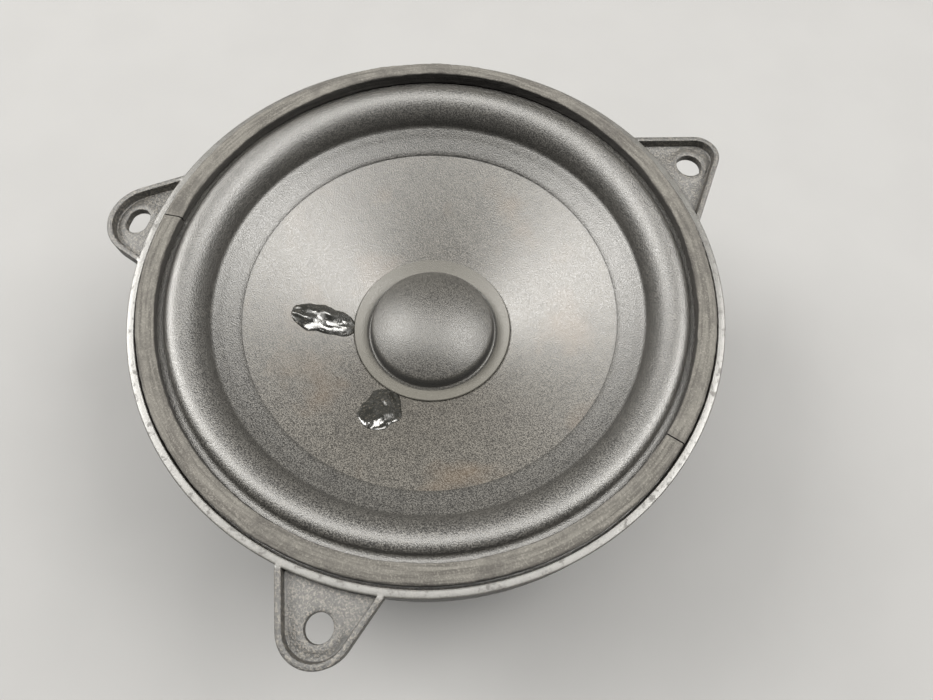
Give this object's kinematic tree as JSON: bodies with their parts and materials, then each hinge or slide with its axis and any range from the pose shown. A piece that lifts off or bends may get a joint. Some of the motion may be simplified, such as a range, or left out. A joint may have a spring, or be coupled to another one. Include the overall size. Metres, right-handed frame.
{
  "type": "car midrange speaker",
  "caption": "Round car-door loudspeaker driver: paper cone with dust cap, rubber surround, plastic basket with mounting ears, side connector and ring-magnet motor.",
  "frame": {"origin": "centre of the flat back face of the magnet yoke", "axes": "+Z along the driver's axis towards the listener, +Y towards the single mounting ear, the connector faces -Y"},
  "size_m": [0.103, 0.1155, 0.0462],
  "materials": {
    "basket_plastic": "matte moulded, pale scuffed rim",
    "gasket_foam": "fibrous matte",
    "surround_rubber": "satin, finely speckled",
    "cone_paper": "pressed paper, matte",
    "dust_cap_paper": "coated, satin",
    "black_glue": "glossy, lumpy",
    "former_polyimide": "amber film",
    "coil_copper": "enamelled wire",
    "spider_cloth": "resin-set weave",
    "motor_steel": "zinc plated",
    "ferrite": "matte ground ceramic",
    "rivet_steel": "plain",
    "connector_plastic": "moulded",
    "terminal_tin": "tin plated",
    "solder": "bright, lumpy",
    "tinsel_braid": "braided",
    "brown_foam": "open-cell foam",
    "clear_film": "translucent plastic"
  },
  "bodies": {
    "frame": {"basket": "basket_plastic", "gasket_segment_1": "gasket_foam", "gasket_segment_2": "gasket_foam", "surround": "surround_rubber", "spider": "spider_cloth", "top_plate": "motor_steel", "magnet_ring": "ferrite", "yoke": "motor_steel", "plate_rivet_1": "rivet_steel", "plate_rivet_2": "rivet_steel", "plate_rivet_3": "rivet_steel", "connector_housing": "connector_plastic", "terminal_blade_1": "terminal_tin", "terminal_blade_2": "terminal_tin", "solder_joint_1": "solder", "solder_joint_2": "solder", "tinsel_lead_1": "tinsel_braid", "tinsel_lead_2": "tinsel_braid", "connector_foam": "brown_foam", "clear_tab": "clear_film"},
    "moving": {"cone": "cone_paper", "dust_cap": "dust_cap_paper", "lead_glue_1": "black_glue", "lead_glue_2": "black_glue", "coil_former": "former_polyimide", "coil_winding": "coil_copper"}
  },
  "joints": [
    {"name": "cone_travel", "type": "slide", "parent": "frame", "child": "moving", "axis": [0, 0, 1], "range_m": [-0.0025, 0.0025], "stiffness_N_per_m": 1000, "deforming": ["surround", "spider", "tinsel_lead_1", "tinsel_lead_2"]}
  ]
}
